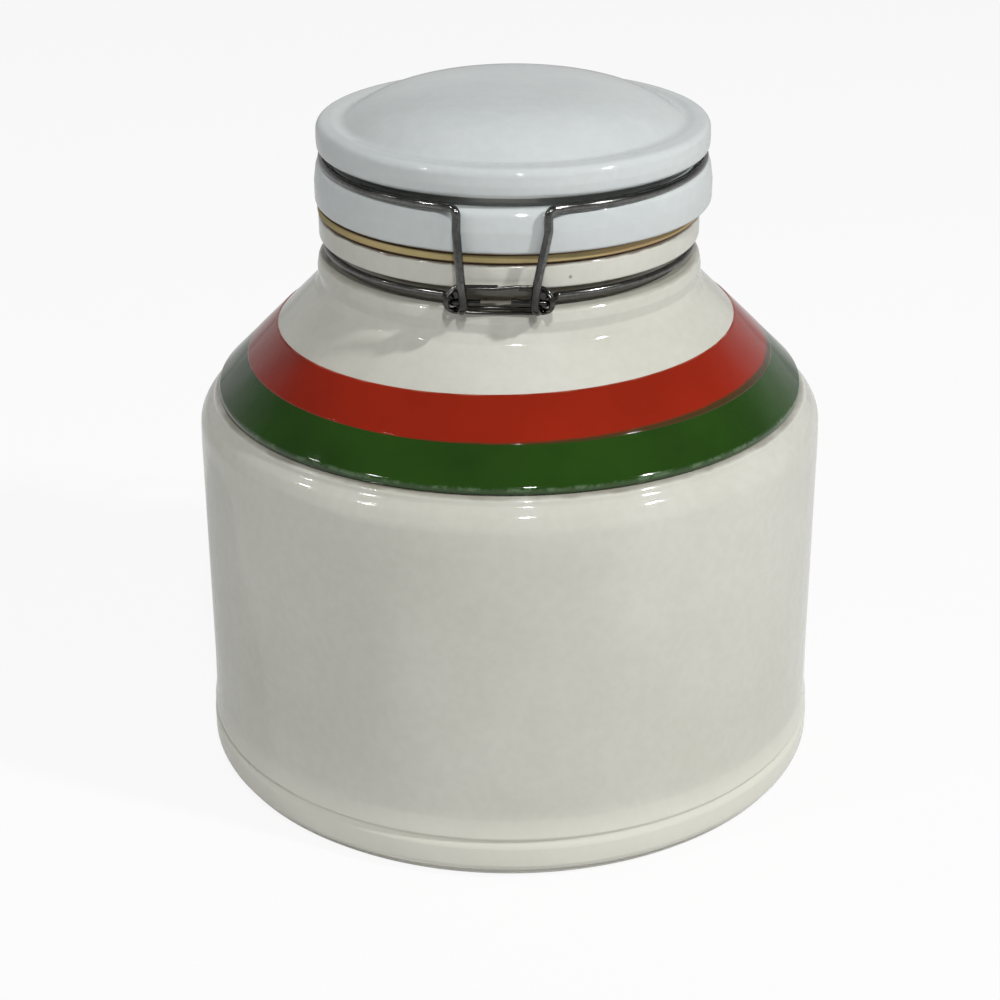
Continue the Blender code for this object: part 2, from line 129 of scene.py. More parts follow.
def draw_line(name, points):
    """A piece begun as one corner and extruded from point to point. It is left in edit mode."""
    bpy.ops.object.select_all(action="DESELECT")
    bpy.ops.mesh.primitive_plane_add(size=MM, location=(0, 0, 0))
    piece = bpy.context.object
    piece.name = name
    piece.data.name = name
    bpy.ops.object.mode_set(mode="EDIT")
    bpy.ops.mesh.select_all(action="SELECT")
    bpy.ops.mesh.merge(type="CENTER")
    bpy.ops.transform.translate(value=points[0])
    for start, end in zip(points, points[1:]):
        bpy.ops.mesh.extrude_region_move(TRANSFORM_OT_translate={"value": end - start})
    return piece


def spun_pot(name, outline):
    """A turned piece from its half section of (radius, height)."""
    piece = draw_line(name, [Vector((point.x, 0, point.y)) for point in outline])
    bpy.ops.mesh.select_all(action="SELECT")
    bpy.ops.mesh.spin(steps=SPIN_STEPS, angle=math.tau, center=(0, 0, 0), axis=(0, 0, 1))
    bpy.ops.mesh.select_all(action="SELECT")
    bpy.ops.mesh.remove_doubles(threshold=MERGE_DISTANCE)
    bpy.ops.mesh.normals_make_consistent(inside=False)
    bpy.ops.object.mode_set(mode="OBJECT")
    bpy.ops.object.shade_smooth_by_angle(angle=SMOOTH_ANGLE)
    return piece


def coat(piece, material):
    """The piece gets one material all over."""
    piece.data.materials.clear()
    piece.data.materials.append(material)


def put_together(piece, body, node):
    """The piece moves with a body and stands for a CAD node, which it hides."""
    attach(piece, body)
    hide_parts(node)


def add_node(tree, kind, inputs=None, **settings):
    """A shader node. Its inputs are values, or other nodes' outputs to link."""
    made = tree.nodes.new(kind)
    for name, value in settings.items():
        setattr(made, name, value)
    for name, value in (inputs or {}).items():
        if isinstance(value, bpy.types.NodeSocket):
            tree.links.new(value, made.inputs[name])
        else:
            made.inputs[name].default_value = value
    return made


def maths(tree, operation, first, second=0.0, third=0.0):
    return add_node(tree, "ShaderNodeMath", {0: first, 1: second, 2: third}, operation=operation).outputs[0]


def vector_maths(tree, operation, first, second=(0, 0, 0)):
    """A vector, or a number for LENGTH and DISTANCE."""
    made = add_node(tree, "ShaderNodeVectorMath", {0: first, 1: second}, operation=operation)
    return made.outputs["Value" if operation in ("LENGTH", "DISTANCE") else "Vector"]


def mixed(tree, factor, first, second):
    """One colour at factor 0, the other at 1."""
    made = add_node(tree, "ShaderNodeMix", data_type="RGBA")
    for socket, value in ((0, factor), (6, first), (7, second)):
        if isinstance(value, bpy.types.NodeSocket):
            tree.links.new(value, made.inputs[socket])
        elif socket == 0:
            made.inputs[socket].default_value = value
        else:
            made.inputs[socket].default_value = (*value, 1)
    return made.outputs[2]


def ramp(tree, value, low, high):
    """0 at and below low, 1 at and above high, smooth in between."""
    settings = {"Value": value, "From Min": low, "From Max": high}
    return add_node(tree, "ShaderNodeMapRange", settings, interpolation_type="SMOOTHSTEP").outputs[0]


def noise(tree, place, scale, detail=2.0, roughness=0.5):
    settings = {"Vector": place, "Scale": scale, "Detail": detail, "Roughness": roughness}
    return add_node(tree, "ShaderNodeTexNoise", settings).outputs["Fac"]


def stained(tree, colour, share, strength, stain):
    """A colour with a stain over it, at full strength where share is 1."""
    return mixed(tree, maths(tree, "MULTIPLY", share, strength), colour, stain)


def clouded(tree, place, scale, low, high, first, second):
    """Soft clouds of the second colour in the first."""
    return mixed(tree, ramp(tree, noise(tree, place, scale, 4), low, high), first, second)


def new_finish(name):
    """A material's tree, its shader and the place on the object, in metres."""
    material = bpy.data.materials.new(name)
    material.use_nodes = True
    tree = material.node_tree
    shader = tree.nodes["Principled BSDF"]
    place = add_node(tree, "ShaderNodeTexCoord").outputs["Object"]
    return material, tree, shader, place


def axis_distance(tree, place):
    return vector_maths(tree, "LENGTH", vector_maths(tree, "MULTIPLY", place, (1, 1, 0)))


def height_at(tree, place):
    return add_node(tree, "ShaderNodeSeparateXYZ", {"Vector": place}).outputs["Z"]


def ragged(tree, place, height, scale, depth):
    """A height that wanders by up to a depth, so that an edge drawn by it is uneven."""
    return maths(tree, "MULTIPLY_ADD", noise(tree, place, scale, 3), depth, height)


def band_at(tree, height, level, half_width):
    """1 at a level and 0 further than half a width from it."""
    away = maths(tree, "ABSOLUTE", maths(tree, "SUBTRACT", height, level))
    return maths(tree, "SUBTRACT", 1.0, ramp(tree, away, 0.2 * half_width, half_width))


def in_channel(tree, reach, height, radius, level, half_width):
    """1 in the groove for a wire, which is at a radius and a level."""
    across = band_at(tree, reach, radius, 3.2 * MM)
    return maths(tree, "MULTIPLY", across, band_at(tree, height, level, half_width))


def glaze_surface(tree, shader, place, wave=GLAZE_WAVE):
    """Gloss that varies a little, over a surface that is slightly wavy and has a fine orange peel."""
    gloss = noise(tree, place, 30, 3)
    tree.links.new(maths(tree, "MULTIPLY_ADD", gloss, 0.05, 0.03), shader.inputs["Roughness"])
    waves = noise(tree, place, 55, 1)
    peel = maths(tree, "MULTIPLY_ADD", noise(tree, place, 420, 2), 0.11, waves)
    bump = add_node(tree, "ShaderNodeBump", {"Height": peel, "Strength": 1.0, "Distance": wave})
    tree.links.new(bump.outputs[0], shader.inputs["Normal"])


def pinholes(tree, place, scale, share, size):
    """Small dark dots at random: share of the cells have one, of a size in cells."""
    cells = add_node(tree, "ShaderNodeTexVoronoi", {"Vector": place, "Scale": scale})
    draw = add_node(tree, "ShaderNodeSeparateColor", {"Color": cells.outputs["Color"]}).outputs[0]
    chosen = maths(tree, "GREATER_THAN", draw, 1 - share)
    dots = maths(tree, "SUBTRACT", 1.0, ramp(tree, cells.outputs["Distance"], 0.4 * size, size))
    return maths(tree, "MULTIPLY", dots, chosen)


def chip(tree, place, centre):
    """1 in a dark chip of the glaze, about a millimetre across."""
    away = vector_maths(tree, "DISTANCE", place, centre)
    return maths(tree, "SUBTRACT", 1.0, ramp(tree, away, 0.25 * MM, 0.7 * MM))


def ivory_finish():
    material, tree, shader, place = new_finish("ivory_glaze")
    height = height_at(tree, place)
    reach = axis_distance(tree, place)
    uneven = ragged(tree, place, height, 120, 1.2 * MM)
    colour = clouded(tree, place, 18, 0.35, 0.65, IVORY, IVORY_SHADE)
    grain = ramp(tree, noise(tree, place, 350, 2), 0.3, 0.7)
    colour = stained(tree, colour, grain, 0.05, GRIME_AND_SHADE)
    # Each groove gets patchy dirt and painted shade
    for level, half_width, depth in GROOVE_DIRT_AND_SHADE:
        groove = band_at(tree, uneven, level + 0.6 * MM, half_width)
        patches = maths(tree, "MULTIPLY", noise(tree, place, 70, 3), depth)
        colour = stained(tree, colour, groove, patches, GRIME_AND_SHADE)
    # Painted shade in the neck's groove for the wire, where the flange and the wire keep the light out
    channel_shade = in_channel(tree, reach, height, NECK_CHANNEL, 154.4 * MM, 4.0 * MM)
    colour = stained(tree, colour, channel_shade, 0.85, GRIME_AND_SHADE)
    # A lighter band over the foot's flare: partly pooled glaze, partly painted light where the flare faces up
    pooled_and_lit = band_at(tree, height, 10.5 * MM, 12.0 * MM)
    colour = stained(tree, colour, pooled_and_lit, 0.6, POOLED_GLAZE_AND_LIGHT)
    # A painted shadow line on the neck's top edge, under the rubber ring
    seal_shade = band_at(tree, uneven, mouth_top + 0.4 * MM, 0.7 * MM)
    seal_shade = maths(tree, "MULTIPLY", seal_shade, ramp(tree, reach, 51.5 * MM, 52.7 * MM))
    colour = stained(tree, colour, seal_shade, 0.8, SEAL_GAP_SHADE)
    colour = stained(tree, colour, pinholes(tree, place, 55, 0.22, 0.022), 0.8, GRIME_AND_SHADE)
    for centre in BODY_CHIPS:
        colour = stained(tree, colour, chip(tree, place, centre), 0.75, GRIME_AND_SHADE)
    bare = maths(tree, "SUBTRACT", 1.0, ramp(tree, uneven, 0.5 * MM, 0.8 * MM))
    colour = mixed(tree, bare, colour, CLAY)
    tree.links.new(colour, shader.inputs["Base Color"])
    glaze_surface(tree, shader, place)
    return material


body_outline = arc_through([
    ((0, FOOT_RECESS), 0),
    ((70.9 * MM, FOOT_RECESS), 1.0 * MM),
    ((72.9 * MM, 0), 0.5 * MM),
    ((87.5 * MM, 0), 0.4 * MM),
    ((88.7 * MM, 1.0 * MM), 0.8 * MM),
    ((88.8 * MM, 2.0 * MM), 0.3 * MM),
    ((90.1 * MM, 3.0 * MM), 0.8 * MM),
    ((base_radius, 4.4 * MM), 2.0 * MM),
    ((base_radius, 10.2 * MM), 2.2 * MM),
    ((89.5 * MM, 11.6 * MM), 0.7 * MM),
    ((90.5 * MM, 12.9 * MM), 1.0 * MM),
    ((89.75 * MM, 18.5 * MM), 10 * MM),
    ((89.55 * MM, 30 * MM), 40 * MM),
    ((89.47 * MM, 98 * MM), 20 * MM),
    ((89.25 * MM, 104.9 * MM), 6.0 * MM),
    ((87.5 * MM, 108.1 * MM), 8.0 * MM),
    ((85.3 * MM, 110.3 * MM), 2.0 * MM),
    ((84.9 * MM, 111.6 * MM), 1.0 * MM),
    ((82.6 * MM, 112.3 * MM), 0.5 * MM),
    ((82.3 * MM, CONE_SUM - 82.5 * MM), 0.5 * MM),
    ((55.1 * MM, CONE_SUM - 55.1 * MM), 2.5 * MM),
    ((53.7 * MM, 145.2 * MM), 1.2 * MM),
    ((54.1 * MM, 148.2 * MM), 2.5 * MM),
    ((53.5 * MM, NECK_CHANNEL_LOW), 1.3 * MM),
    ((NECK_CHANNEL, NECK_CHANNEL_LOW), 0.8 * MM),
    ((NECK_CHANNEL, NECK_CHANNEL_HIGH), 0.8 * MM),
    ((FLANGE_RADIUS, NECK_CHANNEL_HIGH), 0.7 * MM),
    ((FLANGE_RADIUS, mouth_top), 1.3 * MM),
    ((MOUTH_RADIUS, mouth_top), 1.5 * MM),
    ((MOUTH_RADIUS, 143.7 * MM), 9.0 * MM),
    ((POT_INSIDE, 104.5 * MM), 9.0 * MM),
    ((POT_INSIDE, POT_FLOOR), 9.0 * MM),
    ((0, POT_FLOOR), 0),
])
jar_body = spun_pot("jar_pot", body_outline)
coat(jar_body, ivory_finish())
put_together(jar_body, "jar", "jar_body")

# Green band
# A coat of green glaze over the lower edge of the slope, brushed on while the jar turned on a wheel.
# It ends in a rounded step, where it is worn thin in spots, and the red coat laps over its upper edge.
GREEN = (0.0165, 0.055, 0.0045)
GREEN_DARK = (0.011, 0.038, 0.0035)
GREEN_WORN = (0.12, 0.19, 0.10)
GREEN_COAT = 0.15 * MM
GREEN_END = 12.6 * MM
GREEN_ROOT = 0.3 * MM
SLOPE_FOOT_RADIUS = 83.4 * MM
UP_SLOPE = Vector((-1, 1)).normalized()
OFF_SLOPE = Vector((1, 1)).normalized()

green_low, green_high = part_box("green_glaze_band")
slope_foot = Vector((SLOPE_FOOT_RADIUS, CONE_SUM - SLOPE_FOOT_RADIUS))


def on_slope(distance, lift):
    """A point up the slope from its lower edge, and lifted off it."""
    return slope_foot + UP_SLOPE * distance + OFF_SLOPE * lift


def green_finish():
    material, tree, shader, place = new_finish("green_glaze")
    uneven = ragged(tree, place, height_at(tree, place), 90, 1.0 * MM)
    colour = clouded(tree, place, 26, 0.35, 0.7, GREEN, GREEN_DARK)
    edge = band_at(tree, uneven, green_low.z + 2.0 * MM, 0.8 * MM)
    spots = ramp(tree, noise(tree, place, 260, 3, 0.7), 0.44, 0.62)
    colour = stained(tree, colour, maths(tree, "MULTIPLY", edge, spots), 0.5, GREEN_WORN)
    tree.links.new(colour, shader.inputs["Base Color"])
    glaze_surface(tree, shader, place)
    return material


green_outline = arc_through([
    (on_slope(GREEN_END, -GREEN_ROOT), 0),
    (on_slope(GREEN_END - 0.1 * MM, GREEN_COAT), 0.1 * MM),
    (on_slope(-0.1 * MM, GREEN_COAT), 3.0 * MM),
    ((green_high.x, green_low.z + 0.45 * MM), 0.4 * MM),
    ((green_high.x - 0.3 * MM, green_low.z), 0.25 * MM),
    ((82.8 * MM, green_low.z), 0),
    ((82.4 * MM, CONE_SUM - 82.9 * MM), 0),
    (on_slope(GREEN_END, -GREEN_ROOT), 0),
], steps=8)
green_band = spun_pot("green_band", green_outline)
coat(green_band, green_finish())
put_together(green_band, "jar", "green_glaze_band")

# Red band
# A coat of red glaze above the green one, brushed on in the same way and lapping over its upper edge. The lap
# fires to a dark line. The other edge is thin, so that the pale glaze glows through, and slightly askew.
RED = (0.265, 0.0145, 0.0035)
RED_DARK = (0.21, 0.012, 0.003)
RED_LAP = (0.055, 0.032, 0.010)
RED_THIN = (0.50, 0.22, 0.15)
RED_COAT = 0.24 * MM
RED_START = 11.9 * MM
RED_END = 26.1 * MM
RED_ROOT = 0.4 * MM
RED_SKEW = 0.016
SKEWED_FROM = 0.8  # of the way up from the slope's foot

red_low, red_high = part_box("red_glaze_band")


def red_finish():
    material, tree, shader, place = new_finish("red_glaze")
    axes = add_node(tree, "ShaderNodeSeparateXYZ", {"Vector": place})
    height = maths(tree, "MULTIPLY_ADD", axes.outputs["X"], -RED_SKEW, axes.outputs["Z"])
    uneven = ragged(tree, place, height, 130, 0.6 * MM)
    colour = clouded(tree, place, 24, 0.3, 0.7, RED, RED_DARK)
    lap = maths(tree, "SUBTRACT", 1.0, ramp(tree, uneven, red_low.z + 0.9 * MM, red_low.z + 1.7 * MM))
    colour = mixed(tree, lap, colour, RED_LAP)
    thin = ramp(tree, uneven, red_high.z - 0.1 * MM, red_high.z + 0.4 * MM)
    colour = stained(tree, colour, thin, 0.8, RED_THIN)
    tree.links.new(colour, shader.inputs["Base Color"])
    glaze_surface(tree, shader, place, 0.3 * MM)
    return material


red_outline = arc_through([
    (on_slope(RED_END, -RED_ROOT), 0),
    (on_slope(RED_END, 0.05 * MM), 0.1 * MM),
    (on_slope(RED_END - 0.5 * MM, RED_COAT), 0.5 * MM),
    (on_slope(RED_START + 0.45 * MM, RED_COAT), 0.25 * MM),
    (on_slope(RED_START, 0.1 * MM), 0.1 * MM),
    (on_slope(RED_START, -RED_ROOT), 0),
    (on_slope(RED_END, -RED_ROOT), 0),
])
red_band = spun_pot("red_band", red_outline)
for vertex in red_band.data.vertices:
    share = (vertex.co.z - slope_foot.y) / (RED_END * UP_SLOPE.y)
    if share > SKEWED_FROM:
        outward = Vector((vertex.co.x, vertex.co.y, 0)).normalized()
        vertex.co += (Vector((0, 0, 1)) - outward) * RED_SKEW * vertex.co.x
coat(red_band, red_finish())
put_together(red_band, "jar", "red_glaze_band")

# Lid
# Cast stoneware under a cooler white glaze than the body's: a flat rim round a low dome, a groove for the
# wire, and a bead over the rubber ring. A hollow plug underneath keeps it in the mouth. The glaze has painted
# shade in the wire's groove and a painted shadow line over the rubber ring.
WHITE = (0.56, 0.595, 0.59)
WHITE_SHADE = (0.52, 0.555, 0.555)
LID_SEAT = 167.1 * MM
LID_CHANNEL = 49.8 * MM
LID_ASIDE = 1.2 * MM
LID_CHANNEL_LOW = 179.0 * MM
LID_CHANNEL_HIGH = 181.6 * MM
DOME_RISE = 9.4 * MM
DOME_RADIUS = 47.0 * MM
DOME_POWER = 3.6
DOME_STEPS = 22
HOLLOW_RADIUS = 45.5 * MM
LID_WALL = 5.0 * MM
PLUG_RADIUS = 42.6 * MM
PLUG_INSIDE = 36.2 * MM
PLUG_EDGE = 164.3 * MM
LID_CHIP = Vector((-21.2, -41.4, 190.1)) * MM

lid_low, lid_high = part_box("lid")
rim_top = lid_high.z - DOME_RISE


def white_finish():
    material, tree, shader, place = new_finish("white_glaze")
    height = height_at(tree, place)
    reach = axis_distance(tree, place)
    uneven = ragged(tree, place, height, 120, 0.8 * MM)
    colour = clouded(tree, place, 20, 0.35, 0.65, WHITE, WHITE_SHADE)
    grain = ramp(tree, noise(tree, place, 350, 2), 0.3, 0.7)
    colour = stained(tree, colour, grain, 0.04, GRIME_AND_SHADE)
    colour = stained(tree, colour, pinholes(tree, place, 60, 0.15, 0.02), 0.8, GRIME_AND_SHADE)
    # A painted shadow line on the lid's seat, over the rubber ring
    seal_shade = band_at(tree, uneven, LID_SEAT + 0.4 * MM, 0.8 * MM)
    colour = stained(tree, colour, seal_shade, 0.9, SEAL_GAP_SHADE)
    # Painted shade in the lid's groove, above the wire
    channel_shade = in_channel(tree, reach, height, LID_CHANNEL, 180.7 * MM, 2.0 * MM)
    colour = stained(tree, colour, channel_shade, 0.65, GRIME_AND_SHADE)
    colour = mixed(tree, chip(tree, place, LID_CHIP), colour, GRIME_AND_SHADE)
    tree.links.new(colour, shader.inputs["Base Color"])
    glaze_surface(tree, shader, place)
    return material


dome = []
hollow = []
for step in range(DOME_STEPS + 1):
    share = step / DOME_STEPS
    rise = DOME_RISE * (1 - share ** DOME_POWER)
    dome.append(((DOME_RADIUS * share, rim_top + rise), 0))
    hollow.insert(0, ((HOLLOW_RADIUS * share, rim_top + rise - LID_WALL), 0))
lid_outline = arc_through(dome[:-1] + [
    ((47.2 * MM, rim_top - 0.1 * MM), 3.5 * MM),
    ((50.0 * MM, rim_top + 0.4 * MM), 3.5 * MM),
    ((54.3 * MM, rim_top), 2.2 * MM),
    ((54.45 * MM, 185.0 * MM), 3 * MM),
    ((54.3 * MM, LID_CHANNEL_HIGH), 1.7 * MM),
    ((LID_CHANNEL, LID_CHANNEL_HIGH), 0.7 * MM),
    ((LID_CHANNEL, LID_CHANNEL_LOW), 0.7 * MM),
    ((54.5 * MM, 178.8 * MM), 2.6 * MM),
    ((lid_high.x, 173.0 * MM), 3.0 * MM),
    ((lid_high.x, LID_SEAT), 1.2 * MM),
    ((PLUG_RADIUS, LID_SEAT), 0.3 * MM),
    ((PLUG_RADIUS, PLUG_EDGE), 0.8 * MM),
    ((41.2 * MM, lid_low.z), 1.0 * MM),
    ((PLUG_INSIDE, lid_low.z), 1.0 * MM),
    ((PLUG_INSIDE, PLUG_EDGE), 4.0 * MM),
    ((HOLLOW_RADIUS, 172.8 * MM), 4.0 * MM),
] + hollow)
lid = spun_pot("lid_pot", lid_outline)
bpy.ops.object.mode_set(mode="EDIT")
bpy.ops.mesh.select_all(action="SELECT")
bpy.ops.transform.translate(value=(LID_ASIDE, 0, 0))
bpy.ops.object.mode_set(mode="OBJECT")
coat(lid, white_finish())
put_together(lid, "closure_lid", "lid")

# Rubber ring
# A moulded ring of natural rubber that goes round the lid's plug and seals the mouth. It has aged to tan,
# unevenly, and its outer edge shows between the lid and the neck, with painted shadow lines along its top and
# bottom where it meets them.
TAN = (0.46, 0.37, 0.18)
TAN_ORANGE = (0.44, 0.31, 0.155)
TAN_OLIVE = (0.34, 0.285, 0.125)
RING_EDGE_SHADE = (0.10, 0.045, 0.022)
RING_INSIDE = 44.0 * MM
RING_SEAM = 48 * MM

ring_low, ring_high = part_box("gasket")


def rubber_finish():
    material, tree, shader, place = new_finish("tan_rubber")
    shader.inputs["Specular IOR Level"].default_value = 0.15
    colour = mixed(tree, ramp(tree, noise(tree, place, 16, 2), 0.4, 0.6), TAN, TAN_ORANGE)
    colour = mixed(tree, ramp(tree, noise(tree, place, 34, 3), 0.45, 0.7), colour, TAN_OLIVE)
    height = height_at(tree, place)
    rim = ramp(tree, axis_distance(tree, place), ring_high.x - 1.4 * MM, ring_high.x - 0.5 * MM)
    # Painted shadow lines at the outer edge's top and bottom
    for level in (ring_low.z, ring_high.z):
        edge = maths(tree, "MULTIPLY", band_at(tree, height, level, 0.55 * MM), rim)
        colour = mixed(tree, edge, colour, RING_EDGE_SHADE)
    tree.links.new(colour, shader.inputs["Base Color"])
    rough = maths(tree, "MULTIPLY_ADD", noise(tree, place, 200, 2), 0.2, 0.45)
    tree.links.new(rough, shader.inputs["Roughness"])
    fine = noise(tree, place, 900, 3)
    bump = add_node(tree, "ShaderNodeBump", {"Height": fine, "Strength": 0.5, "Distance": 0.06 * MM})
    tree.links.new(bump.outputs[0], shader.inputs["Normal"])
    return material


ring_outline = arc_through([
    ((RING_SEAM, ring_high.z), 0),
    ((ring_high.x, ring_high.z), 0.5 * MM),
    ((ring_high.x, ring_low.z), 0.5 * MM),
    ((RING_INSIDE, ring_low.z), 0.4 * MM),
    ((RING_INSIDE, ring_high.z), 0.4 * MM),
    ((RING_SEAM, ring_high.z), 0),
], steps=5)
rubber_ring = spun_pot("rubber_ring", ring_outline)
coat(rubber_ring, rubber_finish())
put_together(rubber_ring, "closure_lid", "gasket")

# Lid wire
# A hard drawn steel wire that lies in the lid's groove. At the hinge its ends turn down as two legs and curl
# into eyes round the neck wire's stubs. On the far side it bows out into a catch bar for the hasp.
LID_WIRE = 2.3 * MM
NECK_WIRE = 1.8 * MM
WIRE_MERGE = 0.002 * MM
EYE_FIT = 0.2 * MM
EYE_STEPS = 32
EYE_TURN = 5.0  # radians
EYE_PITCH = LID_WIRE + 0.1 * MM
RING_STEP = math.radians(3)
LID_RING_DROP = 1.0 * MM
LID_RING_BULGE = 1.037
LID_RING_FRONT = 16.5 * MM
CATCH_BAR_HALF = 7.0 * MM
LEG_FOOT_X = 9.2 * MM
LEG_TOPS = {-1: 10.9 * MM, 1: 12.6 * MM}
STEEL = (0.17, 0.17, 0.165)
STEEL_DARK = (0.04, 0.04, 0.038)
HINGE_DARK_TONE = (0.022, 0.021, 0.018)

joints = {joint["name"]: Vector(joint["pos_m"]) for joint in frame["joints"]}
hinge = joints["lid_hinge"]
lid_wire_low, lid_wire_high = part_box("lid_wire")
lid_ring_level = lid_wire_high.z - LID_WIRE / 2 - LID_RING_DROP
lid_ring_radius = lid_wire_high.x - LID_WIRE / 2
catch_y = lid_wire_high.y - LID_WIRE / 2
leg_y = lid_wire_low.y + LID_WIRE / 2
eye_radius = NECK_WIRE / 2 + EYE_FIT + LID_WIRE / 2


def bent_wire(name, path, thickness, material):
    """A round wire along a path, with flat cut ends."""
    draw_line(name, path)
    bpy.ops.object.mode_set(mode="OBJECT")
    bpy.ops.object.convert(target="CURVE")
    curve = bpy.context.object.data
    curve.bevel_depth = thickness / 2
    curve.bevel_resolution = 6
    curve.use_fill_caps = True
    bpy.ops.object.convert(target="MESH")
    piece = bpy.context.object
    piece.name = name
    piece.data.name = name
    bpy.ops.object.mode_set(mode="EDIT")
    bpy.ops.mesh.select_all(action="SELECT")
    bpy.ops.mesh.remove_doubles(threshold=WIRE_MERGE)
    bpy.ops.mesh.normals_make_consistent(inside=False)
    bpy.ops.object.mode_set(mode="OBJECT")
    bpy.ops.object.shade_smooth_by_angle(angle=SMOOTH_ANGLE)
    coat(piece, material)
    return piece


def mirrored(path):
    """A path's mirror image across x = 0, from its end to its start."""
    return [Vector((-point.x, point.y, point.z)) for point in reversed(path)]


def curl(axis, radius, across, pitch, start, turn):
    """A curl about an axis along X. Its angles go from +Y towards +Z."""
    path = []
    for step in range(EYE_STEPS + 1):
        share = step / EYE_STEPS
        angle = start + turn * share
        spoke = Vector((across + pitch * share, radius * math.cos(angle), radius * math.sin(angle)))
        path.append(Vector((0, axis.y, axis.z)) + spoke)
    return path


def leaving(radius, point, side):
    """Angle on a circle where a straight run to a point outside it leaves, on one side of the point."""
    lean = math.acos(radius / math.hypot(point.x, point.y))
    return math.atan2(point.y, point.x) + side * lean


def half_ring(radius, level, back, front_reach, bulge=1.0, aside=0.0):
    """Corners of a ring's +X side, from the straight run to a point at the back to a reach before the front.

    The front half bulges towards the hinge, and the whole ring sits aside along X.
    """
    start = leaving(radius, back, -1)
    end = -math.acos(front_reach / radius)
    count = math.ceil((start - end) / RING_STEP)
    corners = []
    for step in range(count + 1):
        angle = start + (end - start) * step / count
        depth = radius * math.sin(angle)
        corners.append((Vector((aside + radius * math.cos(angle), min(depth, depth * bulge), level)), 0))
    return corners


def steel_finish():
    material, tree, shader, place = new_finish("steel_wire")
    shader.inputs["Metallic"].default_value = 1.0
    stains = ramp(tree, noise(tree, place, 900, 3, 0.6), 0.35, 0.75)
    broad = ramp(tree, noise(tree, place, 90, 2), 0.45, 0.75)
    dark = maths(tree, "MULTIPLY_ADD", broad, 0.35, maths(tree, "MULTIPLY", stains, 0.5))
    colour = mixed(tree, dark, STEEL, STEEL_DARK)
    # The steel is darker near the hinge
    from_hinge = vector_maths(tree, "MULTIPLY", vector_maths(tree, "SUBTRACT", place, hinge), (0.35, 1, 1))
    away = vector_maths(tree, "LENGTH", from_hinge)
    near_hinge_dark = maths(tree, "SUBTRACT", 1.0, ramp(tree, away, 4.0 * MM, 9.0 * MM))
    colour = stained(tree, colour, near_hinge_dark, 0.75, HINGE_DARK_TONE)
    tree.links.new(colour, shader.inputs["Base Color"])
    rough = maths(tree, "MULTIPLY_ADD", noise(tree, place, 700, 3), 0.14, 0.08)
    tree.links.new(rough, shader.inputs["Roughness"])
    scratches = noise(tree, place, 2200, 2)
    bump = add_node(tree, "ShaderNodeBump", {"Height": scratches, "Strength": 0.4, "Distance": 0.03 * MM})
    tree.links.new(bump.outputs[0], shader.inputs["Normal"])
    return material


steel = steel_finish()
bar_end = Vector((CATCH_BAR_HALF, catch_y, lid_ring_level))
leg_foot = Vector((LEG_FOOT_X, leg_y, hinge.z))
lid_eye = curl(hinge, eye_radius, leg_foot.x, EYE_PITCH, math.pi, EYE_TURN)
sides = {}
for side, leg_top_x in LEG_TOPS.items():
    half = [(Vector((0, catch_y, lid_ring_level)), 0), (bar_end, 2 * MM)]
    aside = side * LID_ASIDE
    half += half_ring(lid_ring_radius, lid_ring_level, bar_end, LID_RING_FRONT, LID_RING_BULGE, aside)
    half += [
        (Vector((leg_top_x, hinge.y + 0.8 * MM, lid_ring_level + 0.1 * MM)), 2.0 * MM),
        (Vector((leg_top_x + 0.1 * MM, hinge.y + 0.1 * MM, lid_ring_level - 5.5 * MM)), 6 * MM),
        (Vector((leg_foot.x + 0.6 * MM, leg_y, hinge.z + 6.0 * MM)), 8 * MM),
        (leg_foot, 0),
    ]
    sides[side] = arc_through(half, steps=8) + lid_eye[1:]
lid_wire = bent_wire("lid_bail", mirrored(sides[-1]) + sides[1][1:], LID_WIRE, steel)
put_together(lid_wire, "closure_lid", "lid_wire")

# Neck wire
# A thinner wire that lies in the neck's groove. Its ends turn in at the hinge as two stubs for the lid wire's
# eyes, one plain and one hammered flat, and on the far side it bows out into a bar for the lever.
LEVER_BAR_HALF = 11.5 * MM
NECK_RING_FRONT = 17 * MM
STUB_BEND_X = 12.9 * MM
LEFT_STUB_END = 4.9 * MM
RIGHT_STUB_END = 3.0 * MM
HEAD_LENGTH = 3.0 * MM
HEAD_TALLER = 0.3
HEAD_THINNER = 0.25

lever_axis = joints["lever_pivot"]
neck_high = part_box("neck_wire")[1]
neck_ring_radius = neck_high.x - NECK_WIRE / 2
bar_corner = lever_axis + Vector((LEVER_BAR_HALF, 0, 0))
stub_bend = Vector((STUB_BEND_X, hinge.y, hinge.z))
left_stub_end = hinge + Vector((LEFT_STUB_END, 0, 0))
right_stub_end = hinge + Vector((RIGHT_STUB_END, 0, 0))

half = [(lever_axis, 0), (bar_corner, 2 * MM)]
half += half_ring(neck_ring_radius, hinge.z, bar_corner, NECK_RING_FRONT)
half += [(stub_bend + Vector((1.5, 6.3, 0)) * MM, 1.5 * MM), (stub_bend, 1.5 * MM)]
left = arc_through(half + [(left_stub_end, 0)], steps=8)
head = [right_stub_end + Vector((HEAD_LENGTH * share, 0, 0)) for share in (1, 0.8, 0.6, 0.4, 0.2, 0)]
right = arc_through(half + [(head[0], 0)], steps=8) + head[1:]
neck_wire = bent_wire("neck_bail", mirrored(left) + right[1:], NECK_WIRE, steel)
for vertex in neck_wire.data.vertices:
    if vertex.co.y < hinge.y + 2 * MM and 0 < vertex.co.x < head[0].x:
        share = min(1.0, (head[0].x - vertex.co.x) / (0.5 * HEAD_LENGTH))
        vertex.co.z = hinge.z + (vertex.co.z - hinge.z) * (1 + HEAD_TALLER * share)
        vertex.co.y = hinge.y + (vertex.co.y - hinge.y) * (1 - HEAD_THINNER * share)
put_together(neck_wire, "jar", "neck_wire")

